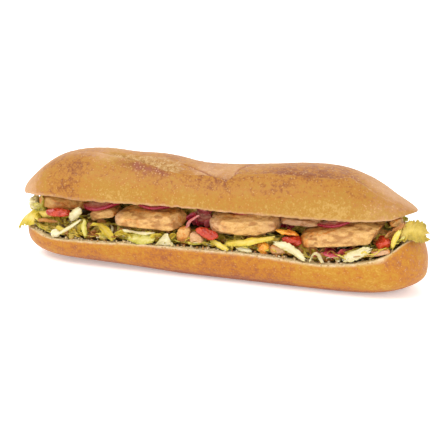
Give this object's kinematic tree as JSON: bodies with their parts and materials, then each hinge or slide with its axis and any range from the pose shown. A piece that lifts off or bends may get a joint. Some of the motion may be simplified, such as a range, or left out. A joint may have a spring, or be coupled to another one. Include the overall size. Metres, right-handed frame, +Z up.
{
  "type": "fillet baguette sandwich",
  "caption": "Long filled baguette sandwich: crusty bread halves around browned fillet slices, lettuce, red onion and tomato.",
  "frame": {"origin": "on the flat underside, at the middle of the whole sandwich's bounding box seen from above", "axes": "+X along the loaf, -Y out of the open front that shows the filling, +Z up"},
  "size_m": [0.2824, 0.066, 0.0787],
  "materials": {
    "crust": "baked crust, golden brown with pale flour",
    "lettuce": "fresh leaf, slightly glossy",
    "cabbage": "crisp pale leaf",
    "fillet": "cooked pale meat, browned patches",
    "onion": "moist red onion",
    "tomato": "wet tomato flesh",
    "pepper": "glossy orange pepper"
  },
  "bodies": {
    "root": {"bread_bottom": "crust", "bread_top": "crust", "cabbage_arch": "cabbage", "cabbage_bit": "cabbage", "cabbage_curl": "cabbage", "cabbage_fringe": "cabbage", "cabbage_knob": "cabbage", "cabbage_left": "cabbage", "cabbage_rib": "cabbage", "fillet_back_1": "fillet", "fillet_back_2": "fillet", "fillet_back_3": "fillet", "fillet_back_4": "fillet", "fillet_end_bit": "fillet", "fillet_front_1": "fillet", "fillet_front_2": "fillet", "fillet_front_3": "fillet", "fillet_front_4": "fillet", "fillet_front_5": "fillet", "fillet_front_6": "fillet", "fillet_mottled_bit": "fillet", "fillet_pale_bit": "fillet", "fillet_strip": "fillet", "fillet_tip": "fillet", "leaf_back_1": "lettuce", "leaf_back_2": "lettuce", "leaf_back_3": "lettuce", "leaf_back_4": "lettuce", "leaf_brown": "lettuce", "leaf_cream": "lettuce", "leaf_curl": "lettuce", "leaf_diagonal": "lettuce", "leaf_left_end": "lettuce", "leaf_left_olive": "lettuce", "leaf_olive": "lettuce", "leaf_pointed": "lettuce", "leaf_right_end": "lettuce", "leaf_right_rib": "lettuce", "leaf_slant": "lettuce", "leaf_strip": "lettuce", "leaf_wedge": "lettuce", "leaf_yellow": "lettuce", "lettuce_bed": "lettuce", "onion_1": "onion", "onion_2": "onion", "onion_3": "onion", "onion_4": "onion", "onion_5": "onion", "onion_bit": "onion", "onion_strip": "onion", "pepper_piece": "pepper", "pepper_strip": "pepper", "tomato_1": "tomato", "tomato_2": "tomato", "tomato_3": "tomato", "tomato_4": "tomato", "tomato_5": "tomato", "tomato_back_1": "tomato", "tomato_back_2": "tomato", "tomato_back_3": "tomato"}
  },
  "joints": []
}
